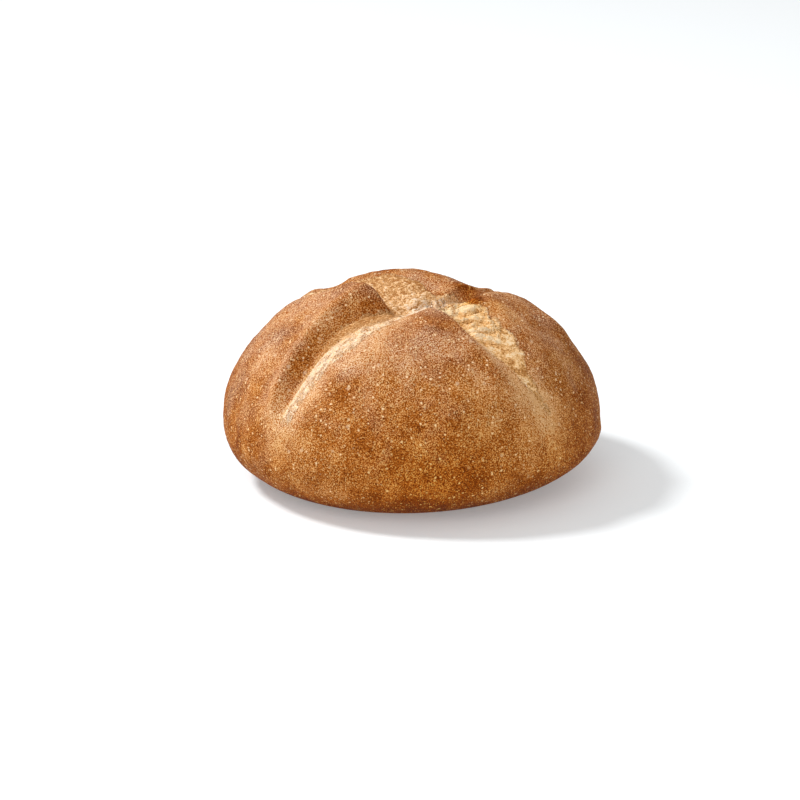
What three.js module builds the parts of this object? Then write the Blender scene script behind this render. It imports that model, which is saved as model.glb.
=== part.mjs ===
// A crusty bread roll: a round dome of dough, scored with a cross that has torn open in the oven.
// Millimetres, +Z up. The origin is the middle of the flat foot and the front faces -Y.
//
// The crust is thought of as a flat round skin, with (u, v) in millimetres from its middle,
// that is drawn down over the dome and tucked under it. All relief is laid out on that skin.
import * as THREE from "three";

// Driving dimensions of the plain dome.
const HALF_WIDTH = 54.5; // along X, at the widest level
const HALF_DEPTH = 50.4; // along Y, at the widest level
const HEIGHT = 59.7; // foot to crown
const WAIST = 16.7; // height of the widest level
const TUCK_SHARE = 0.465; // how far in the edge would tuck, as a share of the widest radius
const TUCK_TURN = THREE.MathUtils.degToRad(70.6); // the flat foot cuts the tuck off here
const FULLER_TOWARDS = THREE.MathUtils.degToRad(164); // the side on which the foot reaches further out
const FULLER_BY = 0.115; // how much further, as a share of the widest radius
const LONGER_BY = 0.03; // the foot is that much longer front to back than side to side

// Lengths along the skin, from the crown down to the waist and on to the foot.
const CROWN_RISE = HEIGHT - WAIST;
const MEAN_RADIUS = (HALF_WIDTH + CROWN_RISE) / 2;
const RADIUS_SWING = (HALF_WIDTH - CROWN_RISE) / 4;
const TO_WAIST = (MEAN_RADIUS * Math.PI) / 2;
const TUCK_DROP = WAIST / Math.sin(TUCK_TURN);
const TO_FOOT = TO_WAIST + (((1 - TUCK_SHARE) * HALF_WIDTH + TUCK_DROP) * TUCK_TURN) / 2;

// The grid of the skin: finest where the tears meet, and turned so that its lines run along them.
const GRID_CELLS = 76;
const GRID_TURN = THREE.MathUtils.degToRad(38);
const GRID_CROWDING = 1.45;
const GRID_BLUR = 1.5; // relief is the mean over this reach, because the cells can't carry anything sharper

// Where the tears meet, on the skin: the hollow that they leave there.
const CROSS = { at: new THREE.Vector2(9, -11.5), reach: 2.4, depth: 5.8 };

// The four tears. Each runs along a curve of the skin and rises to a bank on either side: left and right
// are those of someone walking outwards. Depths, widths and the reach of the flat floor are given at even
// steps along it. square makes the shoulder of a bank sharp, and curl lifts it above the dome.
const TEARS = [
  {
    name: "front left",
    path: [[5, -10], [-7, -18.6], [-18.7, -22.2], [-32.8, -34.8], [-47.5, -48.5]],
    depth: [5.2, 4.2, 2.6],
    left: { width: [12, 17, 19, 13, 8], floor: [0, 0], square: 1.35, curl: 0.3 },
    right: { width: [3.5, 7.5, 8, 6.5, 4.5], floor: [0, 2.8, 3.2, 2, 0.5], square: 1.5, curl: 1.3 },
  },
  {
    name: "front right",
    path: [[4.5, -14], [12.4, -23.4], [22.6, -31.8], [35.2, -38.9], [50, -45]],
    depth: [5, 3.4, 1.9, 1, 0.5],
    left: { width: [17, 16, 14, 13, 12], floor: [4, 3, 1, 0, 0], square: 1.2, curl: 0.4 },
    right: { width: [2.4, 2.8, 4.5, 9, 11], floor: [0, 0], square: 1.4, curl: 0.3 },
  },
  {
    name: "back left",
    path: [[-5, -17.5], [-8.4, -10.5], [-16.2, -2.8], [-28, 6], [-42, 17]],
    depth: [5.2, 4.6, 2.4],
    left: { width: [5, 5.5, 5], floor: [0, 0], square: 1.8, curl: 0.9 },
    right: { width: [16, 20, 20, 14, 9], floor: [4, 3, 0], square: 1.1, curl: 0.2 },
  },
  {
    name: "back right",
    path: [[9, -11.5], [15, -7.8], [21.5, 1], [28.4, 14.1], [35, 31]],
    depth: [4.2, 5.2, 2.2],
    left: { width: [4.2, 5.6, 6.2, 5, 3.4, 3.2, 3.4, 4, 5], floor: [1, 2, 0.5, 0, 1], square: 1.1, curl: 0.2 },
    right: { width: [3.2, 4.6, 4.8, 3.6, 3.4, 3.6, 4, 4.5, 4.5], floor: [1.5, 2, 0.5, 0, 1], square: 1.1, curl: 0 },
  },
];

// Broad rises and hollows of the crust itself.
const SWELLS = [
  { name: "curled end of the left lobe", at: new THREE.Vector2(-13.5, -6.5), reach: 8.5, height: 3.4 },
  { name: "sunken tip of the back lobe", at: new THREE.Vector2(5.5, -4.5), reach: 6.5, height: -3 },
  { name: "flat right flank", at: new THREE.Vector2(52, 8), reach: 9, height: -0.7 },
  { name: "dent behind the left lobe", at: new THREE.Vector2(-23.5, 20), reach: 4.5, height: -2.5 },
  { name: "lip behind the left lobe", at: new THREE.Vector2(-29.5, 17), reach: 6.5, height: 1.3 },
  { name: "slack crust behind the right lobe", at: new THREE.Vector2(18.5, 19), reach: 9.5, height: -4.8 },
  { name: "its steeper back", at: new THREE.Vector2(20, 27), reach: 6, height: -1.2 },
  { name: "low edge of the back lobe", at: new THREE.Vector2(19, 4.5), reach: 5.5, height: -1.6 },
  { name: "full right shoulder", at: new THREE.Vector2(44, -1), reach: 6.5, height: 1.2 },
];

const smooth = (from, to, x) => THREE.MathUtils.smoothstep(x, from, to);
const bell = (x) => Math.exp(-(x ** 2));

// A value given at even steps along a tear, at any place along it.
function stepped(values, along) {
  const place = along * (values.length - 1);
  const before = Math.min(Math.floor(place), values.length - 2);
  return THREE.MathUtils.lerp(values[before], values[before + 1], smooth(0, 1, place - before));
}

// A point of the skin laid on the plain dome: an elliptical cap above the waist, a rounded tuck below it.
function onDome(u, v) {
  const reach = Math.hypot(u, v);
  const turn = Math.atan2(v, u);
  const inmost = TUCK_SHARE + FULLER_BY * Math.cos(turn - FULLER_TOWARDS) - LONGER_BY * Math.cos(2 * turn);
  let spread, level;
  if (reach < TO_WAIST) {
    const even = reach / MEAN_RADIUS;
    const slope = even - (RADIUS_SWING / MEAN_RADIUS) * Math.sin(2 * even);
    spread = Math.sin(slope);
    level = WAIST + CROWN_RISE * Math.cos(slope);
  } else {
    const tuck = Math.min((reach - TO_WAIST) / (TO_FOOT - TO_WAIST), 1) * TUCK_TURN;
    spread = inmost + (1 - inmost) * Math.cos(tuck);
    level = WAIST - TUCK_DROP * Math.sin(tuck);
  }
  return new THREE.Vector3(HALF_WIDTH * spread * Math.cos(turn), HALF_DEPTH * spread * Math.sin(turn), level);
}

// The direction straight out of the dome at a point of the skin.
function outOfDome(u, v) {
  const step = 0.2;
  const alongU = onDome(u + step, v).sub(onDome(u - step, v));
  const alongV = onDome(u, v + step).sub(onDome(u, v - step));
  return alongU.cross(alongV).normalize();
}

// How far along a tear a point of the skin lies, from 0 to 1, and how far it lies to the left of it.
// Short of the start of the tear, distances count BLUNTNESS times, so that a tear starts abruptly.
const STATIONS = 48;
const BLUNTNESS = 2.5;
for (const tear of TEARS) {
  const points = tear.path.map(([u, v]) => new THREE.Vector2(u, v));
  tear.stations = new THREE.SplineCurve(points).getPoints(STATIONS);
}

function placeByTear(tear, point) {
  let nearest = { distance: Infinity };
  for (let i = 0; i < STATIONS; i++) {
    const start = tear.stations[i];
    const stretch = tear.stations[i + 1].clone().sub(start);
    const offset = point.clone().sub(start);
    const ahead = offset.dot(stretch) / stretch.lengthSq();
    const share = THREE.MathUtils.clamp(ahead, 0, 1);
    let distance = offset.distanceTo(stretch.clone().multiplyScalar(share));
    if (i === 0 && ahead < 0) {
      distance = Math.hypot(offset.cross(stretch) / stretch.length(), ahead * stretch.length() * BLUNTNESS);
    } else if (i > 0 && nearest.along === 0) {
      break;
    }
    if (distance < nearest.distance) {
      nearest = { distance, along: (i + share) / STATIONS, side: Math.sign(stretch.cross(offset)) || 1 };
    }
  }
  return { along: nearest.along, left: nearest.distance * nearest.side };
}

// How deep a tear has opened the crust at a point of the skin, and how high its shoulder curls up there.
function opening(tear, point) {
  const { along, left } = placeByTear(tear, point);
  const bank = left > 0 ? tear.left : tear.right;
  const closing = 1 - smooth(0.82, 1, along);
  const floor = stepped(bank.floor, along);
  const up = (Math.abs(left) - floor) / (stepped(bank.width, along) - floor);
  const cut = stepped(tear.depth, along) * (1 - THREE.MathUtils.clamp(up, 0, 1)) ** bank.square;
  const curl = bank.curl * bell((up - 1.15) / 0.6);
  return { cut: cut * closing, curl: curl * closing };
}

// Height of the crust above the plain dome: the deepest tear wins, and only whole crust swells and curls.
function relief(u, v) {
  const point = new THREE.Vector2(u, v);
  const openings = TEARS.map((tear) => opening(tear, point));
  const meeting = CROSS.depth * bell(point.distanceTo(CROSS.at) / CROSS.reach);
  const cut = openings.reduce((sum, o) => sum + o.cut ** 5, meeting ** 5) ** (1 / 5);
  const curl = Math.max(...openings.map((o) => o.curl));
  const swell = SWELLS.reduce((sum, s) => sum + s.height * bell(point.distanceTo(s.at) / s.reach), 0);
  return (curl + swell) * (1 - Math.min(cut / 4, 1)) - cut;
}

// The same as far as the grid can carry it: the mean of the spot and of two rings of spots around it.
function carriedRelief(u, v) {
  let sum = relief(u, v);
  for (let i = 0; i < 12; i++) {
    const turn = (i * Math.PI) / 6;
    const away = i % 2 === 0 ? GRID_BLUR : GRID_BLUR / 2;
    sum += relief(u + away * Math.cos(turn), v + away * Math.sin(turn));
  }
  return sum / 13;
}

// A point of the skin on the finished roll.
function onRoll(u, v) {
  const reach = Math.hypot(u, v);
  const fade = 1 - smooth(TO_WAIST, TO_FOOT - 4, reach);
  const point = onDome(u, v);
  if (fade > 0) point.addScaledVector(outOfDome(u, v), carriedRelief(u, v) * fade);
  return point;
}

// A square grid pressed into a round one: square rings become circles.
function squareToDisc(x, y) {
  const ring = Math.max(Math.abs(x), Math.abs(y));
  if (ring === 0) return new THREE.Vector2();
  const turn = Math.abs(x) > Math.abs(y)
    ? (y / x) * (Math.PI / 4) + (x < 0 ? Math.PI : 0)
    : Math.PI / 2 - (x / y) * (Math.PI / 4) + (y < 0 ? Math.PI : 0);
  return new THREE.Vector2(ring * Math.cos(turn), ring * Math.sin(turn));
}

function rollGeometry() {
  const side = GRID_CELLS + 1;
  const positions = [];
  for (let row = 0; row < side; row++) {
    for (let column = 0; column < side; column++) {
      const disc = squareToDisc((2 * column) / GRID_CELLS - 1, (2 * row) / GRID_CELLS - 1);
      const ring = disc.length();
      const skin = disc.rotateAround(new THREE.Vector2(), GRID_TURN);
      if (ring > 0) skin.multiplyScalar((TO_FOOT * ring ** GRID_CROWDING) / ring);
      skin.addScaledVector(CROSS.at, (1 - ring) ** 2);
      positions.push(...onRoll(skin.x, skin.y).toArray());
    }
  }
  const faces = [];
  const at = (column, row) => row * side + column;
  for (let row = 0; row < GRID_CELLS; row++) {
    for (let column = 0; column < GRID_CELLS; column++) {
      const [a, b, c, d] = [at(column, row), at(column + 1, row), at(column + 1, row + 1), at(column, row + 1)];
      const rising = column < GRID_CELLS / 2 === row < GRID_CELLS / 2;
      faces.push(...(rising ? [a, b, c, a, c, d] : [a, b, d, b, c, d]));
    }
  }
  // The flat foot: a fan from its middle to the rim of the skin.
  const middle = positions.length / 3;
  positions.push(0, 0, 0);
  for (let i = 0; i < GRID_CELLS; i++) {
    faces.push(at(i + 1, 0), at(i, 0), middle);
    faces.push(at(GRID_CELLS, i + 1), at(GRID_CELLS, i), middle);
    faces.push(at(i, GRID_CELLS), at(i + 1, GRID_CELLS), middle);
    faces.push(at(0, i), at(0, i + 1), middle);
  }
  const geometry = new THREE.BufferGeometry();
  geometry.setAttribute("position", new THREE.Float32BufferAttribute(positions, 3));
  geometry.setIndex(faces);
  geometry.computeBoundingBox();
  const middleOfBox = geometry.boundingBox.getCenter(new THREE.Vector3());
  geometry.translate(-middleOfBox.x, -middleOfBox.y, 0);
  geometry.computeVertexNormals();
  return geometry;
}

const crust = new THREE.MeshStandardMaterial({ color: 0xb07a45, roughness: 0.8, metalness: 0 });
const roll = new THREE.Mesh(rollGeometry(), crust);
roll.name = "roll";

const bread = new THREE.Group();
bread.add(roll);

export default bread;
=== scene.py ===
import bpy
import math
import numpy as np
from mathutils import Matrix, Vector, noise


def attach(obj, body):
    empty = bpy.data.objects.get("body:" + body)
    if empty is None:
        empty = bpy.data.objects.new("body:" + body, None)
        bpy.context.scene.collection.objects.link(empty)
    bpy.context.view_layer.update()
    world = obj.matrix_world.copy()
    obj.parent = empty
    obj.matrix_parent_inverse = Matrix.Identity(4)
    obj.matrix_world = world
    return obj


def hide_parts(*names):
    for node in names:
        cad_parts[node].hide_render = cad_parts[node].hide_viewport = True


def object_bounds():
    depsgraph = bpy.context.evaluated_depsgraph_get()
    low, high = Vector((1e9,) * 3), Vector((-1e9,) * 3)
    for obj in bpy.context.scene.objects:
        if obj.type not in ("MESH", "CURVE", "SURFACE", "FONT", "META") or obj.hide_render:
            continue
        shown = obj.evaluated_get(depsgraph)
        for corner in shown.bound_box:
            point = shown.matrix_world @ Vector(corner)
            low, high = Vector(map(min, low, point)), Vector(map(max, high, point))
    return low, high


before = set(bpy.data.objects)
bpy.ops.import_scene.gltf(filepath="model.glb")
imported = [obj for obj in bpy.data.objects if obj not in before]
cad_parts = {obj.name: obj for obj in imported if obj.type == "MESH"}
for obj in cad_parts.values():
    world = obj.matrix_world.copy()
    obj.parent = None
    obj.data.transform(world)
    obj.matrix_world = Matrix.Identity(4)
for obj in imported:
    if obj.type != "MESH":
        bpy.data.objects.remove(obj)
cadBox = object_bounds()
bpy.ops.object.select_all(action="DESELECT")
print("frame loaded")

mm = 0.001

# The roll's form, in mm. A place on its skin is (u, v), measured from the crown down over the crust:
# u to the right and v to the back.
form = {
    "halfWidth": 54.5,  # along X at the widest level
    "halfDepth": 50.4,
    "height": 59.7,
    "waist": 16.7,  # height of the widest level
    "tuckShare": 0.465,  # how far in the edge would tuck
    "tuckTurn": math.radians(70.6),  # where the foot cuts the tuck off
    "fullerTowards": math.radians(164),
    "fullerBy": 0.115,
    "longerBy": 0.03,
    "plainRim": 4,  # the last stretch above the foot, without relief
    "cells": 296,  # grid cells across the skin
    "gridTurn": math.radians(38),
    "crowding": 1.3,  # finer cells near the cross
    "cross": (9.0, -11.5),
    "crossReach": 2.4,
    "crossDepth": 5.8,
    "merging": 5,  # how sharply the tears and the cross meet
    "swellsEnd": 4,  # depth at which swells and curls are gone
}

# Depths, widths and floors are given at even steps along each tear. Left and right are as walking outwards.
# crumb: how far the torn crumb reaches, soft: how gradually it ends, pale: how far the crust stays pale.
tears = {
    "frontLeft": {
        "path": [(5, -10), (-7, -18.6), (-18.7, -22.2), (-32.8, -34.8), (-47.5, -48.5)],
        "depth": [5.2, 4.2, 2.6],
        "left": {"width": [12, 17, 19, 13, 8], "floor": [0, 0, 0], "square": 1.35, "curl": 0.3, "lip": 0.0,
                 "crumb": [0, 0.6, 5, 8.8, 10.6, 9.8, 7.4, 5.5, 5.0], "soft": [1, 3, 6, 4, 3],
                 "pale": [0, 1, 11, 20, 23, 20, 14, 10, 8]},
        "right": {"width": [3.5, 7.5, 8, 6.5, 4.5], "floor": [0, 2.8, 3.2, 2, 0.5],
                  "square": 1.5, "curl": 1.3, "lip": 0.0,
                  "crumb": [0.5, 3.2, 3.4, 1.0, 0.3], "soft": [0.8, 1.6, 1.5, 0.8, 0.8],
                  "pale": [0.8, 4, 3.5, 1.5, 1.5]},
    },
    "frontRight": {
        "path": [(4.5, -14), (12.4, -23.4), (22.6, -31.8), (35.2, -38.9), (50, -45)],
        "depth": [5.0, 3.4, 1.9, 1.0, 0.5],
        "left": {"width": [17, 16, 14, 13, 12], "floor": [4, 3, 1, 0, 0],
                 "square": 1.2, "curl": 0.4, "lip": 0.0,
                 "crumb": [10.4, 11.6, 12.4, 10.6, 10.8, 8.4, 3.4, 1.2, 0], "soft": [4, 2.6, 2],
                 "pale": [10, 12, 10, 7, 6]},
        "right": {"width": [2.4, 2.8, 4.5, 9, 11], "floor": [0, 0, 0],
                  "square": 1.4, "curl": 0.3, "lip": [0.7, 0.7, 0.3, 0, 0],
                  "crumb": [1.4, 1.4, 1.3, 0.5, 0], "soft": [0.6, 0.6, 1.5, 2, 2],
                  "pale": [1.5, 1.5, 5, 9, 7]},
    },
    "backLeft": {
        "path": [(-5, -17.5), (-8.4, -10.5), (-16.2, -2.8), (-28, 6), (-42, 17)],
        "depth": [5.2, 4.6, 2.4],
        "left": {"width": [5, 5.5, 5], "floor": [0, 0, 0], "square": 1.8, "curl": 0.9, "lip": 0.9,
                 "crumb": [0.6, 0.6, 1], "soft": [0.6, 0.6, 1], "pale": [1, 1, 2]},
        "right": {"width": [16, 20, 20, 14, 9], "floor": [4, 3, 0], "square": 1.1, "curl": 0.2, "lip": 0.0,
                  "crumb": [12, 15.6, 15, 8, 4], "soft": [0.8, 1, 3, 3, 3], "pale": [13, 17.5, 17, 9, 6]},
    },
    "backRight": {
        "path": [(9, -11.5), (15, -7.8), (21.5, 1.0), (28.4, 14.1), (35, 31)],
        "depth": [4.2, 5.2, 2.2],
        "left": {"width": [4.2, 5.6, 6.2, 5, 2.8, 2.8, 3, 4, 5], "floor": [1.5, 3, 1, 1, 2],
                 "square": 1.0, "curl": 0.2, "lip": 0.5,
                 "crumb": [4.4, 5.6, 4.6, 1.2, 0.4, 0.4, 0.4, 0.4, 0.4], "soft": [0.8, 0.8, 1],
                 "pale": [5.5, 5, 2]},
        "right": {"width": [3.2, 4.6, 4.8, 3.2, 3, 3.4, 4, 4.5, 4.5], "floor": [2, 2.8, 1, 1, 1.5],
                  "square": 1.1, "curl": 0.0, "lip": 0.0,
                  "crumb": [4, 4.6, 0.8, 0.4, 0.4], "soft": [1, 1, 1.5], "pale": [4, 5, 2]},
    },
}

tearing = {  # how every tear opens
    "stretches": 12,  # between two points of its path
    "beforeStart": 2.5,  # how much further off a place counts that lies before its start
    "closesFrom": 0.82,  # share of the way along where it starts to close
    "crumbEndsFrom": 0.9,
    "paleEndsFrom": 0.92,
    "curlAt": 1.15,  # share of the way up the bank, as are the next three
    "curlReach": 0.6,
    "lipAt": 0.85,
    "lipReach": 0.35,
    "ragClouds": (3.0, 1, 3),  # size in mm, seed and octaves, as for all clouds below
    "rag": 0.5,
    "ragWhereSoft": 0.35,
    "ragOfPale": 2,
    "paleFades": (0.3, 1.25),  # shares of the pale crust's reach
    "leastPale": 0.1,
}

swells = [  # place, reach and height of broad rises and hollows
    ((-13.5, -6.5), 8.5, 3.4),  # curled end of the left lobe
    ((5.5, -4.5), 6.5, -3.0),  # sunken tip of the back lobe
    ((52, 8), 9.0, -0.7),  # flat right flank
    ((-23.5, 20), 4.5, -2.5),  # dent behind the left lobe
    ((-29.5, 17), 6.5, 1.3),  # lip behind it
    ((18.5, 19), 9.5, -4.8),  # slack crust behind the right lobe
    ((20, 27), 6.0, -1.2),  # its steeper back
    ((19, 4.5), 5.5, -1.6),  # low edge of the back lobe
    ((44, -1), 6.5, 1.2),  # full right shoulder
]

crownRise = form["height"] - form["waist"]
meanRadius = (form["halfWidth"] + crownRise) / 2
radiusSwing = (form["halfWidth"] - crownRise) / 4
toWaist = meanRadius * math.pi / 2
tuckDrop = form["waist"] / math.sin(form["tuckTurn"])
toFoot = toWaist + ((1 - form["tuckShare"]) * form["halfWidth"] + tuckDrop) * form["tuckTurn"] / 2


def bell(x):
    return np.exp(-x ** 2)


def smooth(low, high, x):
    t = np.clip((x - low) / (high - low), 0, 1)
    return t * t * (3 - 2 * t)


def slope(setting, x):  # grows from 0 at the first value of x to the full amount at the second
    (low, high), amount = setting
    return amount * smooth(low, high, x)


def window(start, end, x):  # 1 between two soft edges
    return smooth(*start, x) * (1 - smooth(*end, x))


def stepped(values, along):  # a value given at even steps, at any place between them
    values = np.array(values, float)
    place = along * (len(values) - 1)
    before = np.minimum(np.floor(place), len(values) - 2).astype(int)
    return values[before] + (values[before + 1] - values[before]) * smooth(0, 1, place - before)


def clouds(u, v, size, seed, octaves=2):  # soft random values around 0, with features of size mm
    off = seed * 13.7  # keeps the seeds apart
    fallOff, finer = 1.0, 2.0  # from each octave to the next
    spots = [(a / size + off, b / size - off, off) for a, b in zip(u, v)]
    return np.array([noise.fractal(spot, fallOff, finer, octaves) for spot in spots])


def layOnDome(u, v):
    reach = np.hypot(u, v)
    turn = np.arctan2(v, u)
    inmost = form["tuckShare"] + form["fullerBy"] * np.cos(turn - form["fullerTowards"])
    inmost = inmost - form["longerBy"] * np.cos(2 * turn)
    even = reach / meanRadius
    tilt = even - radiusSwing / meanRadius * np.sin(2 * even)
    tuck = np.minimum((reach - toWaist) / (toFoot - toWaist), 1) * form["tuckTurn"]
    above = reach < toWaist
    spread = np.where(above, np.sin(tilt), inmost + (1 - inmost) * np.cos(tuck))
    level = form["waist"] + np.where(above, crownRise * np.cos(tilt), -tuckDrop * np.sin(tuck))
    across = form["halfWidth"] * spread * np.cos(turn)
    back = form["halfDepth"] * spread * np.sin(turn)
    return np.stack([across, back, level], axis=-1)


def outOfDome(u, v):
    step = 0.2  # mm to each side
    alongU = layOnDome(u + step, v) - layOnDome(u - step, v)
    alongV = layOnDome(u, v + step) - layOnDome(u, v - step)
    out = np.cross(alongU, alongV)
    return out / np.linalg.norm(out, axis=1, keepdims=True)


def curveThrough(points, steps):  # a smooth curve through points, with steps stretches between each two
    p = np.array([points[0], *points, points[-1]], float)
    line = [p[1]]
    for i in range(1, len(points)):
        run, rise = (p[i + 1] - p[i - 1]) / 2, (p[i + 2] - p[i]) / 2
        for t in np.arange(1, steps + 1) / steps:
            start, end = (1 + 2 * t) * (1 - t) ** 2 * p[i], (3 - 2 * t) * t ** 2 * p[i + 1]
            line.append(start + end + t * (1 - t) ** 2 * run - (1 - t) * t ** 2 * rise)
    return np.array(line)


def placeByTear(path, u, v):  # share of the way along, mm along, mm to the left, and the way to the left
    line = curveThrough(path, tearing["stretches"])
    stations = len(line) - 1
    nearest = np.full(u.shape, np.inf)
    along = np.zeros(u.shape)
    far = np.zeros(u.shape)
    side = np.ones(u.shape)
    leftU = np.zeros(u.shape)
    leftV = np.zeros(u.shape)
    run = 0.0
    early = np.zeros(u.shape, bool)
    for i in range(stations):
        stretch = line[i + 1] - line[i]
        length = np.hypot(*stretch)
        offU = u - line[i][0]
        offV = v - line[i][1]
        ahead = (offU * stretch[0] + offV * stretch[1]) / length ** 2
        share = np.clip(ahead, 0, 1)
        distance = np.hypot(offU - share * stretch[0], offV - share * stretch[1])
        across = (stretch[0] * offV - stretch[1] * offU) / length
        if i == 0:
            early = ahead < 0
            distance = np.where(early, np.hypot(across, ahead * length * tearing["beforeStart"]), distance)
            closer = np.ones(u.shape, bool)
        else:
            closer = (distance < nearest) & ~early
        nearest = np.where(closer, distance, nearest)
        along = np.where(closer, (i + share) / stations, along)
        far = np.where(closer, run + share * length, far)
        side = np.where(closer, np.where(across >= 0, 1, -1), side)
        leftU = np.where(closer, -stretch[1] / length, leftU)
        leftV = np.where(closer, stretch[0] / length, leftV)
        run += length
    return along, far, nearest * side, leftU, leftV


def onBank(tear, left, key, along):  # a value of the bank that each point is on
    values = []
    for bank in (tear["left"], tear["right"]):
        value = bank[key]
        values.append(stepped(value, along) if isinstance(value, list) else value)
    return np.where(left > 0, values[0], values[1])


# the skin: a flat grid, rounded off and crowded towards the cross
bpy.ops.mesh.primitive_grid_add(x_subdivisions=form["cells"], y_subdivisions=form["cells"], size=2)
roll = bpy.context.object
roll.name = "breadRoll"
roll.data.name = "breadRoll"
flat = np.empty(len(roll.data.vertices) * 3)
roll.data.vertices.foreach_get("co", flat)
gridX, gridY = flat.reshape(-1, 3)[:, 0], flat.reshape(-1, 3)[:, 1]
ring = np.maximum(np.abs(gridX), np.abs(gridY))
tiny = 1e-9  # stands in for 0 below a fraction
safeX = np.where(gridX == 0, tiny, gridX)
safeY = np.where(gridY == 0, tiny, gridY)
sideways = np.abs(gridX) > np.abs(gridY)
sideTurn = gridY / safeX * math.pi / 4 + np.where(gridX < 0, math.pi, 0)
topTurn = math.pi / 2 - gridX / safeY * math.pi / 4 + np.where(gridY < 0, math.pi, 0)
turn = np.where(sideways, sideTurn, topTurn) + form["gridTurn"]
fromCrown = toFoot * ring ** form["crowding"]
u = fromCrown * np.cos(turn) + form["cross"][0] * (1 - ring) ** 2
v = fromCrown * np.sin(turn) + form["cross"][1] * (1 - ring) ** 2
print("skin laid out,", len(u), "points")


def near(at, reach):  # 1 at a place on the skin, falling off around it; reach may be a pair, for u and v
    reachU, reachV = reach if isinstance(reach, tuple) else (reach, reach)
    return bell(np.hypot((u - at[0]) / reachU, (v - at[1]) / reachV))


# the tears: how deep they cut, where crumb shows, and how far their lips lean over
crumb = np.zeros(u.shape)
pale = np.zeros(u.shape)
curl = np.zeros(u.shape)
shiftU = np.zeros(u.shape)
shiftV = np.zeros(u.shape)
cut = (form["crossDepth"] * near(form["cross"], form["crossReach"])) ** form["merging"]
ragged = clouds(u, v, *tearing["ragClouds"])
places = {}
for name, tear in tears.items():
    along, far, left, leftU, leftV = placeByTear(tear["path"], u, v)
    places[name] = (along, far, left)
    aside = np.abs(left)
    closing = 1 - smooth(tearing["closesFrom"], 1, along)
    base = onBank(tear, left, "floor", along)
    up = (aside - base) / (onBank(tear, left, "width", along) - base)
    steep = np.clip(1 - up, 0, 1) ** onBank(tear, left, "square", along)
    cut += (stepped(tear["depth"], along) * steep * closing) ** form["merging"]
    curling = bell((up - tearing["curlAt"]) / tearing["curlReach"])
    curl = np.maximum(curl, onBank(tear, left, "curl", along) * curling * closing)
    leaning = bell((up - tearing["lipAt"]) / tearing["lipReach"])
    over = onBank(tear, left, "lip", along) * leaning * closing
    shiftU -= over * leftU * np.sign(left)
    shiftV -= over * leftV * np.sign(left)
    soft = onBank(tear, left, "soft", along)
    edge = onBank(tear, left, "crumb", along) + ragged * (tearing["rag"] + tearing["ragWhereSoft"] * soft)
    opened = 1 - smooth(edge - soft / 2, edge + soft / 2, aside)
    crumb = np.maximum(crumb, opened * (1 - smooth(tearing["crumbEndsFrom"], 1, along)))
    edge = onBank(tear, left, "pale", along) + ragged * tearing["ragOfPale"]
    edge = np.maximum(edge, tearing["leastPale"])
    fading = 1 - smooth(edge * tearing["paleFades"][0], edge * tearing["paleFades"][1], aside)
    pale = np.maximum(pale, fading * (1 - smooth(tearing["paleEndsFrom"], 1, along)))
cut = cut ** (1 / form["merging"])
swell = sum(rise * near(at, reach) for at, reach, rise in swells)
relief = (curl + swell) * (1 - np.minimum(cut / form["swellsEnd"], 1)) - cut

ear = {  # the ear of crust where the back right tear opens, and the hollow beside it
    "at": (17.4, -11.2),
    "reach": 2.6,
    "height": 1.2,
    "pit": (19.8, -10.2),
    "pitReach": 1.4,
    "pitDepth": 0.5,
    "foldsGive": (0.2, 0.7),  # where folds, crumb and pale crust give way to it
    "crumbGives": (0.25, 0.6),
    "paleGives": (0.15, 0.6),
}
onEar = near(ear["at"], ear["reach"])
inPit = near(ear["pit"], ear["pitReach"])
offEar = 1 - smooth(*ear["foldsGive"], onEar + inPit)

folding = {  # rounded folds with sharp creases between them, in the front right tear
    "lean": 0.10,  # how far they turn off u
    "wander": 2.0,
    "wanderClouds": (9.0, 4, 1),
    "layers": [(0.2, 2.6, 2), (0.35, 1.2, 3)],  # share of u (a small one draws folds out), size and seed
    "steepness": 1.8,
    "most": 1.8,
    "bank": (-1.5, 0.8),  # mm to the left, where they set in
    "bankEnd": 16,
    "starts": (0, 1.5),  # mm along
    "flattens": (20, 30),
    "height": 0.95,
    "contrast": 1.35,  # of the tone, which runs from the pores and creases up to the lightest crumb on the folds; darker in the creases is partly painted shade
    "tone": -0.76,
    "midTone": ((-16, -28), 0.05),  # by v
    "lowTone": ((-33, -36), -0.68),  # by v, on a slant
    "slant": 0.3,
    "slantFrom": 27,
}
evenAt = 0.5  # where a fold, a curd or a strand neither rises nor sinks
wave = v - u * folding["lean"] + folding["wander"] * clouds(u, v, *folding["wanderClouds"])
folds = np.zeros(u.shape)
for share, size, seed in folding["layers"]:
    folds += np.abs(clouds(u * share, wave, size, seed)) * folding["steepness"]
folds = np.clip(folds, 0, folding["most"])
_, far, left = places["frontRight"]
torn = crumb * smooth(*folding["bank"], left) * (left < folding["bankEnd"])
torn = torn * smooth(*folding["starts"], far)
flattening = 1 - smooth(*folding["flattens"], far)
relief += torn * offEar * flattening * folding["height"] * (folds - evenAt)
# the tone follows the folds: darker in the creases, partly the crumb's own colour, partly painted shade
tone = folding["contrast"] * folds + folding["tone"] + slope(folding["midTone"], v)
tone += slope(folding["lowTone"], v - folding["slant"] * (u - folding["slantFrom"]))
rise = torn * tone
print("front right crumb folded")

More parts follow.
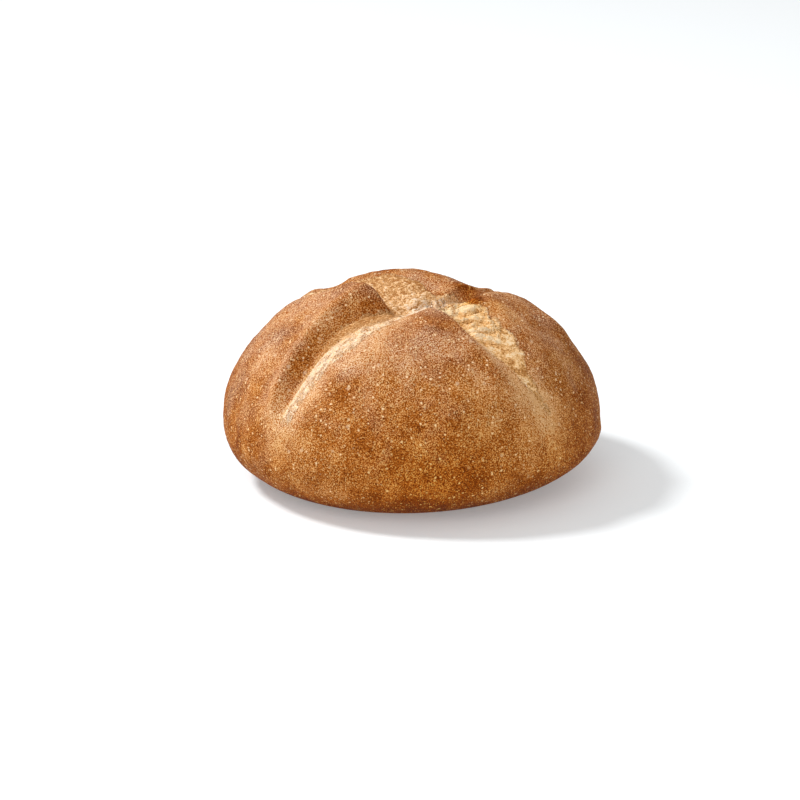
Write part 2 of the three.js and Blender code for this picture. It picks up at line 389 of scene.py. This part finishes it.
curdling = {  # small round curds, in the back left tear
    "clouds": (1.2, 5, 3),
    "steepness": 2.6,
    "most": 1.5,
    "bank": (0.5, -1.5),
    "bankEnd": -22,
    "lowest": -19,  # v
    "height": 0.22,
    "contrast": 0.9,
    "tone": -0.40,
    "uphillTone": ((-12, -3), -0.60),  # by v
    "outerTone": ((-10.5, -15), -0.3),  # by mm to the left
    "downhillTone": ((-9, -14), 0.15),  # by v
}
curds = np.clip(np.abs(clouds(u, v, *curdling["clouds"])) * curdling["steepness"], 0, curdling["most"])
_, far, left = places["backLeft"]
curdled = crumb * smooth(*curdling["bank"], left) * (left > curdling["bankEnd"]) * (v > curdling["lowest"])
relief += curdled * curdling["height"] * (curds - evenAt)
tone = curdling["contrast"] * curds + curdling["tone"] + slope(curdling["uphillTone"], v)
tone += slope(curdling["outerTone"], left) + slope(curdling["downhillTone"], v)
rise += curdled * tone
print("back left crumb curdled")


def strands(place, width):  # parallel strands: 1 along the middle of each and 0 between them
    return np.abs(place / width % 1 * 2 - 1)


drawing = {  # strands drawn out along the back right tear
    "width": 0.9,
    "waver": 0.8,
    "edges": (-2.5, 6),  # mm to the left
    "starts": (1, 4),
    "ends": (14, 30),
    "height": 0.15,
    "contrast": 0.9,
    "tone": -0.40,
}
_, far, left = places["backRight"]
strand = strands(left + curds * drawing["waver"], drawing["width"])
rightEdge, leftEdge = drawing["edges"]
drawn = crumb * (left > rightEdge) * (left < leftEdge) * (1 - smooth(*drawing["ends"], far))
relief += drawn * offEar * drawing["height"] * (strand - evenAt) * smooth(*drawing["starts"], far)
rise = rise * (1 - drawn) + drawn * (drawing["contrast"] * strand + drawing["tone"])
print("back right crumb drawn out")

band = {  # the band of crumb in the front left tear, with strands across and wisps along it
    "width": 13,
    "strandWidth": 1.3,
    "waver": 1.2,
    "lean": 0.4,
    "reliefWithin": 9,
    "strandHeight": 0.12,
    "curdHeight": 0.12,
    "wispClouds": (1.6, 21, 3),
    "wispShare": 0.45,  # of the way along, which draws the wisps out along the tear
    "wispBase": 0.1,
    "wispRange": (-0.1, 0.5),
    "thinned": 0.27,  # share that crust keeps, broken into flecks by the grain of the finish
    "thinnedByWisps": 0.55,
    "rightBank": -6,  # mm to the left
    # painted shade: darker crumb on the right bank, below the left lobe's wall
    "rightBankShade": -0.60,
    "rightFrom": (0.1, 0.2),  # shares of the way along
    "rightTo": (0.75, 0.85),
    "tone": 0.62,
    "lowTone": ((0.6, 0.8), 0.16),
    "middleTone": ((5.5, 0), -1.20),  # by mm to the left, between the next two shares of the way along
    "middleFrom": (0.12, 0.25),
    "middleTo": (0.50, 0.64),
}
along, far, left = places["frontLeft"]
strand = strands(far + curds * band["waver"] + left * band["lean"], band["strandWidth"])
ridges = band["strandHeight"] * (strand - evenAt) + band["curdHeight"] * curds
relief += crumb * (np.abs(left) < band["reliefWithin"]) * ridges
strip = crumb * (left > 0) * (left < band["width"])
wisps = clouds(far * band["wispShare"], left, *band["wispClouds"]) + band["wispBase"]
crumb -= strip * (band["thinned"] + band["thinnedByWisps"] * np.clip(wisps, *band["wispRange"]))
rightBank = (left < 0) * (left > band["rightBank"]) * window(band["rightFrom"], band["rightTo"], along)
# painted shade on the crumb beside the wall
rise += band["rightBankShade"] * crumb * rightBank
tone = band["tone"] + slope(band["lowTone"], along)
tone += slope(band["middleTone"], left) * window(band["middleFrom"], band["middleTo"], along)
rise += strip * tone
print("front left crumb broken up")

relief += ear["height"] * onEar - ear["pitDepth"] * inPit
crumb = crumb * (1 - smooth(*ear["crumbGives"], onEar + inPit))
pale = pale * (1 - smooth(*ear["paleGives"], onEar + inPit))

lumps = {  # size, seed and height of the crust's own unevenness
    "broad": (17.0, 8, 0.45),
    "onCrumb": 0.5,  # how much less of it the crumb has
    "small": [(5.0, 9, 0.16), (2.2, 10, 0.07)],
    "endAt": 3,  # depth in a tear at which the small ones end
}
whole = 1 - np.minimum(crumb + cut / lumps["endAt"], 1)
size, seed, tall = lumps["broad"]
relief += tall * clouds(u, v, size, seed) * (1 - lumps["onCrumb"] * crumb)
for size, seed, tall in lumps["small"]:
    relief += tall * clouds(u, v, size, seed) * whole

blisters = {  # strewn over the whole crust
    "count": 90,
    "seed": 5,
    "area": (0.01, 0.9),
    "reach": (0.9, 1.7),
    "height": (0.1, 0.3),
}
rng = np.random.default_rng(blisters["seed"])
blister = np.zeros(u.shape)
for _ in range(blisters["count"]):
    away = toFoot * math.sqrt(rng.uniform(*blisters["area"]))
    towards = rng.uniform(0, 2 * math.pi)
    size = rng.uniform(*blisters["reach"])
    tall = rng.uniform(*blisters["height"])
    dome = near((away * math.cos(towards), away * math.sin(towards)), size) * whole
    relief += tall * dome
    blister = np.maximum(blister, dome)

fade = 1 - smooth(toWaist, toFoot - form["plainRim"], np.hypot(u, v))
leanU = u + shiftU * fade
leanV = v + shiftV * fade
skin = layOnDome(leanU, leanV) + outOfDome(leanU, leanV) * (relief * fade)[:, None]
roll.data.vertices.foreach_set("co", (skin * mm).ravel())
roll.data.update()
print("crust lumped and blistered")

foot = {  # flat, and closed in rings from the rim of the skin
    "rings": (0.9, 0.8, 0.7, 0.5),  # each as a share of the one before
    "middle": (-4 * mm, 1 * mm, 0),
    "bakeAndShade": 0.72,
    "flourAndSheen": 0.15,
}
bpy.ops.object.mode_set(mode="EDIT")
bpy.ops.mesh.select_mode(type="EDGE")
bpy.ops.mesh.select_all(action="DESELECT")
bpy.ops.mesh.select_non_manifold()
for step in foot["rings"]:
    bpy.ops.mesh.extrude_region()
    bpy.ops.transform.resize(value=(step, step, 1), center_override=foot["middle"])
bpy.ops.mesh.merge(type="CENTER")
bpy.ops.mesh.select_all(action="SELECT")
bpy.ops.mesh.normals_make_consistent(inside=False)
bpy.ops.object.mode_set(mode="OBJECT")
bpy.ops.object.shade_smooth()

# the finished roll fills the solid's box exactly
spots = np.empty(len(roll.data.vertices) * 3)
roll.data.vertices.foreach_get("co", spots)
spots = spots.reshape(-1, 3)
low, high = np.array(cadBox[0]), np.array(cadBox[1])
lowNow, highNow = spots.min(axis=0), spots.max(axis=0)
spots = low + (spots - lowNow) * (high - low) / (highNow - lowNow)
roll.data.vertices.foreach_set("co", spots.ravel())
roll.data.update()
print("foot closed")

bakingAndShade = {  # how dark the crust is, from 0 to 1: how dark it is baked, and painted shade where noted below
    "plain": 0.44,
    "clouds": (9.0, 11, 3),
    "cloudShare": 0.22,
    "back": ((0, 14), 0.10),  # by v
    "rim": ((0.22, 0.0), 0.50),  # by the share of the height; the rim lies near the hot stone
    "rightFlank": ((34, 60), 0.15),  # by u; partly baked darker, partly painted shade on the side turned away from the key light
    "leftFlank": ((-40, -75), 0.20),
    # painted shade on the left lobe's wall in the front left tear, which faces away from the key light
    "wall": 0.05,
    "lip": 0.20,
    # painted shade under the back lobe's lip and, next, in the pit beside the ear
    "undercut": 0.20,
    "pit": 0.40,
    "ear": 0.22,
}
bakeAndLightPatches = [  # place, reach and how much darker or lighter the crust is made there: partly bake, partly painted light and shade
    ((12, 3), 8, 0.12),  # the front of the back lobe
    ((-13, -8), 7, 0.20),  # the curled end of the left lobe, partly baked darker, partly painted shade on its side turned away from the key light
    ((4, -22), (6, 7), 0.10),  # the tip of the front lobe
    ((-3, -41), 5, -0.22),
    ((8.5, -57), 6, -0.14),
    ((-3, -58), 4, -0.20),
    ((-3.4, -75), 5, -0.12),
    ((-35.5, -55), 6, -0.13),
    ((-66, -56), 8, -0.12),
    ((36, -45), 7, -0.16),
    ((47, -41), 7, -0.16),
    ((51.6, -22), 8, -0.20),
    ((-17.5, -14), 4, -0.16),
    ((-24, -18), 5, -0.22),
    # painted light: lightens a spot of the right lobe's top, beside the crumb, that lies in shade
    ((25, -13), 4, -0.28),
    ((-53, -28), 6, -0.10),
    ((-30, -22), 5, -0.12),
    ((-44, -40), 5, -0.14),
    ((11.4, -40), 4, 0.20),
    ((-14, -64), 7, 0.18),
    ((-18.6, -79), 8, 0.14),
    ((32, -71.5), 7, 0.26),
    ((8, 1), 5, 0.08),
    ((-20, -83), 7, 0.20),
    ((23, -79), 8, 0.22),
    ((-8, -69), 6, 0.08),
    ((11, -67), 7, 0.05),
    ((-27, -73), 6, 0.08),
    ((2, -52), 9, 0.03),
    ((-50, -70), 7, -0.14),
    ((55, -50), 9, -0.15),
    ((42, -57), 8, -0.11),
    ((-3, -76), 5, 0.06),
]
wallPlace = {"at": -3.5, "reach": 2.2, "from": (0, 12), "to": (45, 60)}  # the left lobe's side of its tear
lipPlace = {"at": -2.5, "reach": 2.2, "from": (2, 12), "to": (18, 30)}  # the front lobe's lip
undercutPlace = ((16.5, -0.5), (4, 2.6))  # below the back lobe's lip


def alongBank(tear, place):  # 1 along a line beside a tear
    _, far, left = places[tear]
    return bell((left - place["at"]) / place["reach"]) * window(place["from"], place["to"], far)


height = skin[:, 2] / form["height"]
wall = alongBank("frontLeft", wallPlace)
lip = alongBank("frontRight", lipPlace)
undercut = near(*undercutPlace)
# crust darkness: baked darker, with painted shade on the tear wall, under the back lobe's lip, in the pit
# and partly on the right flank
bakeAndShade = bakingAndShade["plain"] + bakingAndShade["cloudShare"] * clouds(u, v, *bakingAndShade["clouds"])
bakeAndShade += slope(bakingAndShade["back"], v) + slope(bakingAndShade["rim"], height)
bakeAndShade += slope(bakingAndShade["rightFlank"], u) + slope(bakingAndShade["leftFlank"], u)
# painted shade on the wall, under the back lobe's lip and in the pit; the front lobe's lip and the ear are
# baked darker
bakeAndShade += bakingAndShade["wall"] * wall + bakingAndShade["lip"] * lip
bakeAndShade += bakingAndShade["undercut"] * undercut + bakingAndShade["pit"] * inPit + bakingAndShade["ear"] * onEar
# darker and lighter patches: partly bake, partly painted light and shade
for at, reach, darker in bakeAndLightPatches:
    bakeAndShade += darker * near(at, reach)

dustingAndSheen = {  # where flour still lies, with painted sheen: more on the crown and the left lobe, where the key light falls
    "plain": -0.20,
    "clouds": (8.0, 12, 3),
    "cloudShare": 0.50,
    "crown": ((0.30, 0.9), 0.60),  # by the share of the height; partly flour, partly painted sheen where the key light falls
    "right": ((8, 25), -0.20),  # by u; less flour and less painted sheen on the side turned away from the key light
    "back": ((0, 14), -0.35),  # by v
    "patches": [  # place, reach and how much more
        # the left lobe, where the key light falls: partly flour, partly painted sheen
        ((-50, -5), (22, 30), 0.35),
        ((2, -38), (8, 7), 0.45),
        ((-56, -45), 20, 0.20),
        ((-12, -36), 7, 0.25),
    ],
    "wall": 0.7,  # kept off the wall, the undercut and the ear
    "lowTear": 0.6,  # the low half of the front left tear
    "lowTearAt": 4,
    "lowTearReach": 4.5,
    "lowTearFrom": (0.4, 0.7),
    "lowTearTo": (0.96, 1),
}
# flour, with painted sheen on the crown and the left lobe
flourAndSheen = dustingAndSheen["plain"] + dustingAndSheen["cloudShare"] * clouds(u, v, *dustingAndSheen["clouds"])
flourAndSheen += slope(dustingAndSheen["crown"], height) + slope(dustingAndSheen["right"], u) + slope(dustingAndSheen["back"], v)
for at, reach, more in dustingAndSheen["patches"]:
    flourAndSheen += more * near(at, reach)
flourAndSheen -= undercut + onEar + dustingAndSheen["wall"] * wall
along, _, left = places["frontLeft"]
lowTear = bell((left - dustingAndSheen["lowTearAt"]) / dustingAndSheen["lowTearReach"])
flourAndSheen += dustingAndSheen["lowTear"] * lowTear * window(dustingAndSheen["lowTearFrom"], dustingAndSheen["lowTearTo"], along)
flourAndSheen = np.clip(flourAndSheen, 0, 1)

runningOut = {  # pale crust where the front tears run out
    "places": [((46, -45), 6), ((35, -44), 6), ((-47, -49), 7)],
    "pale": 0.9,
    "rag": 0.4,
}
for at, reach in runningOut["places"]:
    pale = np.maximum(pale, runningOut["pale"] * near(at, reach) * (1 + ragged * runningOut["rag"]))
pale = np.clip(pale, 0, 1)

toasting = {  # where the crust and the crumb turn golden
    "front": 8,  # u
    "frontReach": 34,
    "rightFlank": ((35, 55), 0.6),  # by u
    "leftFlank": ((-38, -52), 0.4),
    "low": (0.75, 0.2),  # shares of the height
    "rim": (0.2, 0.05),
    "tornCrumb": 0.46,
    "lowerCrumb": ((-16, -28), -0.08),  # by v
}
golden = bell((u - toasting["front"]) / toasting["frontReach"])
golden = np.maximum(golden, slope(toasting["rightFlank"], u) + slope(toasting["leftFlank"], u))
golden = np.maximum(golden * smooth(*toasting["low"], height), smooth(*toasting["rim"], height))
goldenCrumb = (toasting["tornCrumb"] + slope(toasting["lowerCrumb"], v)) * torn
toast = np.maximum(golden, undercut + onEar + goldenCrumb)


def keepMask(name, values, footValue=0.0):  # stores a mask on the points; the foot's own get one value
    mask = roll.data.attributes.new(name, "FLOAT", "POINT")
    filled = np.full(len(roll.data.vertices), footValue)
    filled[:len(values)] = values
    mask.data.foreach_set("value", filled)


keepMask("crumb", crumb)
keepMask("pale", pale * (1 - crumb))
keepMask("blister", blister)
keepMask("bakeAndShade", bakeAndShade, foot["bakeAndShade"])
keepMask("flourAndSheen", flourAndSheen, foot["flourAndSheen"])
keepMask("rise", rise)
keepMask("toast", toast)
print("roll baked")

# The finish: crust and crumb in one material. Sizes are in mm and colours linear.
finish = {
    "bakeAndShade": [  # crust colours from hardly baked to scorched; the darker ones also give the painted shade
        (0.00, (0.79, 0.45, 0.190)),
        (0.28, (0.565, 0.225, 0.052)),
        (0.50, (0.425, 0.122, 0.007)),
        (0.75, (0.30, 0.064, 0.001)),
        (1.00, (0.14, 0.030, 0.001)),
    ],
    "crumb": [  # crumb colours from the pores up
        (0.12, (0.36, 0.140, 0.035)),
        (0.45, (0.69, 0.380, 0.152)),
        (0.62, (0.89, 0.555, 0.290)),
        (0.82, (0.94, 0.665, 0.420)),
        (1.00, (0.98, 0.775, 0.585)),
    ],
    # the colour of flour and of the painted sheen, also given to the flakes
    "flourAndSheen": (0.86, 0.62, 0.41, 1),
    "fleck": (0.95, 0.68, 0.41, 1),
    "toast": (1.0, 0.85, 0.42, 1),  # warms what lies under it
    "specular": 0.06,
}
noises = {  # size, detail and roughness
    "broad": (14, 3, 0.55),
    "middling": (4.2, 4, 0.6),
    "grain": (0.30, 2, 0.6),
    "darkGrain": (0.42, 2, 0.6),
    "ruffle": (0.5, 2, 0.6),
    "crumbEdge": (0.55, 3, 0.65),
    "crumbGrain": (0.3, 3, 0.65),
    "tornGrain": (0.9, 3, 0.65),
}
strewnDots = {  # size of their cells, reach and the share that is strong
    # fine pale specks, partly painted glints on the tops of small bubbles
    "dotsAndGlints": (0.62, 0.44, 0.5),
    "flecks": (1.3, 0.31, 0.40),
    "flakes": (4.2, 0.16, 0.55),
    "solidWithin": 0.55,  # share of the reach
    "fullWithin": 0.2,  # share of the strong ones
    "ruffledBy": 0.5 * mm,
}
ranges = {  # the values that a noise is spread out between and, where given, what they become
    "crumbEdge": (0.35, 0.65),
    "evenGrain": (0.38, 0.62, -0.5, 0.5),
    "darkGrain": (0.44, 0.32),
    "specks": (0.55, 0.41),
    "crumbGrain": (0.60, 0.40),
    "tornGrain": (0.3, 0.7),
    "lightGrain": (0.62, 0.38),
    "roughness": (0.3, 0.7, 0.55, 0.8),
}
darknessShares = {  # what makes the crust darker, or lighter
    "broad": 0.60,
    "middling": 0.50,
    "grain": 1.0,
    "grainUnderFlourAndSheen": -0.45,
    "dotsAndGlints": -1.2,
    "darkGrain": 0.15,
    "lighter": 0.435,  # taken off everywhere
    "pale": -0.42,
    "blisters": -0.06,
}
topShares = {  # how strongly flour with painted sheen, flecks and flakes cover the crust
    "palePerFlourAndSheen": 0.42,
    "flourAndSheen": 0.85,
    "flecks": 0.92,
    "flakes": 0.45,
}
crumbShares = {  # what makes the crumb lighter
    "fibreStretch": (0.35, 1, 1),  # the crumb's grain is drawn out along X
    "crumbGrain": 0.50,
    "tornGrain": 0.22,
    "grain": 0.35,
    "darker": 0.03,  # taken off everywhere
    "rise": 0.45,
    "edgeRaggedness": 1.5,
}
bumps = {
    "grain": -0.8,
    "dotsAndGlints": 0.5,
    "tornGrain": 1.2,
    "strength": 0.9,
    "distance": 0.5 * mm,
}


class Nodes:  # adds nodes to a material and links them
    def __init__(self, material):
        material.use_nodes = True
        self.tree = material.node_tree
        self.shader = self.tree.nodes["Principled BSDF"]

    def plug(self, value, socket):
        if isinstance(value, bpy.types.NodeSocket):
            self.tree.links.new(value, socket)
        else:
            socket.default_value = value

    def add(self, kind, out=0, inputs=None, **settings):
        node = self.tree.nodes.new("ShaderNode" + kind)
        for name, value in settings.items():
            setattr(node, name, value)
        for name, value in (inputs or {}).items():
            self.plug(value, node.inputs[name])
        return node.outputs[out]

    def noise(self, where, size, detail, rough, out=0):
        inputs = {"Vector": where, "Scale": 1000 / size, "Detail": detail, "Roughness": rough}
        return self.add("TexNoise", out, inputs)

    def math(self, kind, a, b=0.0, c=0.0, clamp=False):
        return self.add("Math", 0, {0: a, 1: b, 2: c}, operation=kind, use_clamp=clamp)

    def spread(self, value, low, high, least=0.0, most=1.0, soft=True):
        ends = {"Value": value, "From Min": low, "From Max": high, "To Min": least, "To Max": most}
        return self.add("MapRange", 0, ends, interpolation_type="SMOOTHSTEP" if soft else "LINEAR")

    def mix(self, share, a, b, kind="MIX"):  # of two colours, which are its inputs 6 and 7
        node = self.tree.nodes.new("ShaderNodeMix")
        node.data_type = "RGBA"
        node.blend_type = kind
        self.plug(share, node.inputs[0])
        self.plug(a, node.inputs[6])
        self.plug(b, node.inputs[7])
        return node.outputs[2]

    def ramp(self, value, stops):
        node = self.tree.nodes.new("ShaderNodeValToRGB")
        ramp = node.color_ramp
        while len(ramp.elements) < len(stops):
            ramp.elements.new(0.5)
        for element, (place, colour) in zip(ramp.elements, stops):
            element.position = place
            element.color = (*colour, 1)
        self.plug(value, node.inputs[0])
        return node.outputs[0]

    def mask(self, name):
        return self.add("Attribute", "Fac", attribute_name=name)


bread = bpy.data.materials.new("breadCrustAndCrumb")
nodes = Nodes(bread)
where = nodes.add("TexCoord", "Object")
paleMask = nodes.mask("pale")
flourAndSheenMask = nodes.mask("flourAndSheen")
grain = nodes.noise(where, *noises["grain"])

# the crumb's edge is ragged and speckled
crumbEdge = nodes.math("SUBTRACT", nodes.mask("crumb"), crumbShares["edgeRaggedness"] / 2)
edgeNoise = nodes.noise(where, *noises["crumbEdge"])
crumbEdge = nodes.math("MULTIPLY_ADD", edgeNoise, crumbShares["edgeRaggedness"], crumbEdge)
crumbMask = nodes.spread(crumbEdge, *ranges["crumbEdge"])

# dots with painted glints, flecks and flakes lie in cells whose shapes are ruffled
ruffle = nodes.noise(where, *noises["ruffle"], out=1)
ruffling = {0: ruffle, 1: (strewnDots["ruffledBy"],) * 3, 2: where}
ruffled = nodes.add("VectorMath", 0, ruffling, operation="MULTIPLY_ADD")


def strewn(size, reach, share):  # one dot in each cell of that size, of which a share is strong
    cells = {"Vector": ruffled, "Scale": 1000 / size, "Randomness": 1.0}
    draw = nodes.add("SeparateColor", 0, {"Color": nodes.add("TexVoronoi", "Color", cells)})
    away = nodes.add("TexVoronoi", "Distance", cells)
    strong = nodes.spread(draw, 1 - share, 1 - share * strewnDots["fullWithin"])
    dot = nodes.spread(away, reach, reach * strewnDots["solidWithin"])
    return nodes.math("MULTIPLY", dot, strong)


dotsAndGlints = strewn(*strewnDots["dotsAndGlints"])
flecks = strewn(*strewnDots["flecks"])
flakes = strewn(*strewnDots["flakes"])

# the crust, darkened by its bake and by painted shade
broad = nodes.noise(where, *noises["broad"])
darkness = nodes.math("MULTIPLY_ADD", broad, darknessShares["broad"], nodes.mask("bakeAndShade"))
middling = nodes.noise(where, *noises["middling"])
darkness = nodes.math("MULTIPLY_ADD", middling, darknessShares["middling"], darkness)
grainShare = nodes.math("MULTIPLY_ADD", flourAndSheenMask, darknessShares["grainUnderFlourAndSheen"], darknessShares["grain"])
evenGrain = nodes.spread(grain, *ranges["evenGrain"], soft=False)
darkness = nodes.math("MULTIPLY_ADD", evenGrain, grainShare, darkness)
# lighter at the dots: partly pale specks, partly painted glints
darkness = nodes.math("MULTIPLY_ADD", dotsAndGlints, darknessShares["dotsAndGlints"], darkness)
darkGrain = nodes.spread(nodes.noise(where, *noises["darkGrain"]), *ranges["darkGrain"])
darkness = nodes.math("MULTIPLY_ADD", darkGrain, darknessShares["darkGrain"], darkness)
darkness = nodes.math("SUBTRACT", darkness, darknessShares["lighter"])
darkness = nodes.math("MULTIPLY_ADD", paleMask, darknessShares["pale"], darkness)
darkness = nodes.math("MULTIPLY_ADD", nodes.mask("blister"), darknessShares["blisters"], darkness, clamp=True)
crust = nodes.ramp(darkness, finish["bakeAndShade"])
# flour and painted sheen whiten the crust in specks
dusty = nodes.math("MULTIPLY_ADD", paleMask, topShares["palePerFlourAndSheen"], flourAndSheenMask, clamp=True)
specks = nodes.spread(grain, *ranges["specks"], 0.0, topShares["flourAndSheen"])
crust = nodes.mix(nodes.math("MULTIPLY", specks, dusty), crust, finish["flourAndSheen"])
crust = nodes.mix(nodes.math("MULTIPLY", flecks, topShares["flecks"]), crust, finish["fleck"])
crust = nodes.mix(nodes.math("MULTIPLY", flakes, topShares["flakes"]), crust, finish["flourAndSheen"])

# the crumb
fibreInputs = {0: where, 1: crumbShares["fibreStretch"]}
fibres = nodes.add("VectorMath", 0, fibreInputs, operation="MULTIPLY")
crumbGrain = nodes.spread(nodes.noise(fibres, *noises["crumbGrain"]), *ranges["crumbGrain"], soft=False)
tornGrain = nodes.noise(fibres, *noises["tornGrain"])
evenTornGrain = nodes.spread(tornGrain, *ranges["tornGrain"], soft=False)
lightness = nodes.math("MULTIPLY", evenTornGrain, crumbShares["tornGrain"])
lightness = nodes.math("MULTIPLY_ADD", crumbGrain, crumbShares["crumbGrain"], lightness)
lightGrain = nodes.spread(grain, *ranges["lightGrain"], soft=False)
lightness = nodes.math("MULTIPLY_ADD", lightGrain, crumbShares["grain"], lightness)
lightness = nodes.math("SUBTRACT", lightness, crumbShares["darker"])
lightness = nodes.math("MULTIPLY_ADD", nodes.mask("rise"), crumbShares["rise"], lightness)
colour = nodes.mix(crumbMask, crust, nodes.ramp(lightness, finish["crumb"]))
colour = nodes.mix(nodes.mask("toast"), colour, finish["toast"], "MULTIPLY")
nodes.plug(colour, nodes.shader.inputs["Base Color"])
nodes.plug(nodes.spread(grain, *ranges["roughness"]), nodes.shader.inputs["Roughness"])

# fine bumps
bump = nodes.math("MULTIPLY_ADD", grain, bumps["grain"], nodes.math("MULTIPLY", dotsAndGlints, bumps["dotsAndGlints"]))
tornBump = nodes.math("MULTIPLY", tornGrain, crumbMask)
bump = nodes.math("MULTIPLY_ADD", tornBump, bumps["tornGrain"], bump)
bumpInputs = {"Strength": bumps["strength"], "Distance": bumps["distance"], "Height": bump}
nodes.plug(nodes.add("Bump", 0, bumpInputs), nodes.shader.inputs["Normal"])
nodes.shader.inputs["Specular IOR Level"].default_value = finish["specular"]
roll.data.materials.append(bread)
print("crust and crumb finished")

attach(roll, "root")
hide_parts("roll")

studio = {  # in metres and watts
    "viewHeight": math.radians(19),
    "distance": 0.8,
    "aim": (0, 0, 0.024),
    "aside": -0.00346,
    "lower": -0.00185,
    "lens": 124.8,
    "sensor": 36,
    "clipStart": 0.01,
    "lightAim": (0, 0, 0.03),
    "keyLight": {"place": (-0.71, 0.14, 0.95), "size": 0.25, "power": 12},
    "fillLight": {"place": (-0.3, -1.2, 0.9), "size": 1.0, "power": 4.8},
    "white": (1, 1, 1, 1),
    "sky": 0.58,
    "floorSize": 8,
    "floorColour": (0.70, 0.73, 0.745, 1),
    "floorRoughness": 0.9,
    "floorGlow": 0.25,  # keeps the far floor white
}
bpy.ops.mesh.primitive_plane_add(size=studio["floorSize"])
floor = bpy.context.object
floor.name = "paleFloor"
paleFloor = bpy.data.materials.new("paleFloor")
paleFloor.use_nodes = True
ground = paleFloor.node_tree.nodes["Principled BSDF"]
ground.inputs["Base Color"].default_value = studio["floorColour"]
ground.inputs["Roughness"].default_value = studio["floorRoughness"]
ground.inputs["Emission Color"].default_value = studio["white"]
ground.inputs["Emission Strength"].default_value = studio["floorGlow"]
floor.data.materials.append(paleFloor)


def softLight(name):
    setting = studio[name]
    bpy.ops.object.light_add(type="AREA", location=setting["place"])
    light = bpy.context.object
    light.name = name
    light.data.shape = "DISK"
    light.data.size = setting["size"]
    light.data.energy = setting["power"]
    towards = Vector(setting["place"]) - Vector(studio["lightAim"])
    light.rotation_euler = towards.to_track_quat("Z", "Y").to_euler()


softLight("keyLight")
softLight("fillLight")

sky = bpy.data.worlds.new("studio")
bpy.context.scene.world = sky
sky.use_nodes = True
sky.node_tree.nodes["Background"].inputs["Color"].default_value = studio["white"]
sky.node_tree.nodes["Background"].inputs["Strength"].default_value = studio["sky"]

bpy.ops.object.camera_add()
camera = bpy.context.object
camera.name = "viewCamera"
away = Vector((0, -math.cos(studio["viewHeight"]), math.sin(studio["viewHeight"])))
aloft = Vector((0, math.sin(studio["viewHeight"]), math.cos(studio["viewHeight"])))
camera.location = Vector(studio["aim"]) + away * studio["distance"] + Vector((studio["aside"], 0, 0))
camera.location += aloft * studio["lower"]
camera.rotation_euler = away.to_track_quat("Z", "Y").to_euler()
camera.data.lens = studio["lens"]
camera.data.sensor_width = studio["sensor"]
camera.data.clip_start = studio["clipStart"]
bpy.context.scene.camera = camera
bpy.context.scene.view_settings.view_transform = "Standard"
print("stage set")
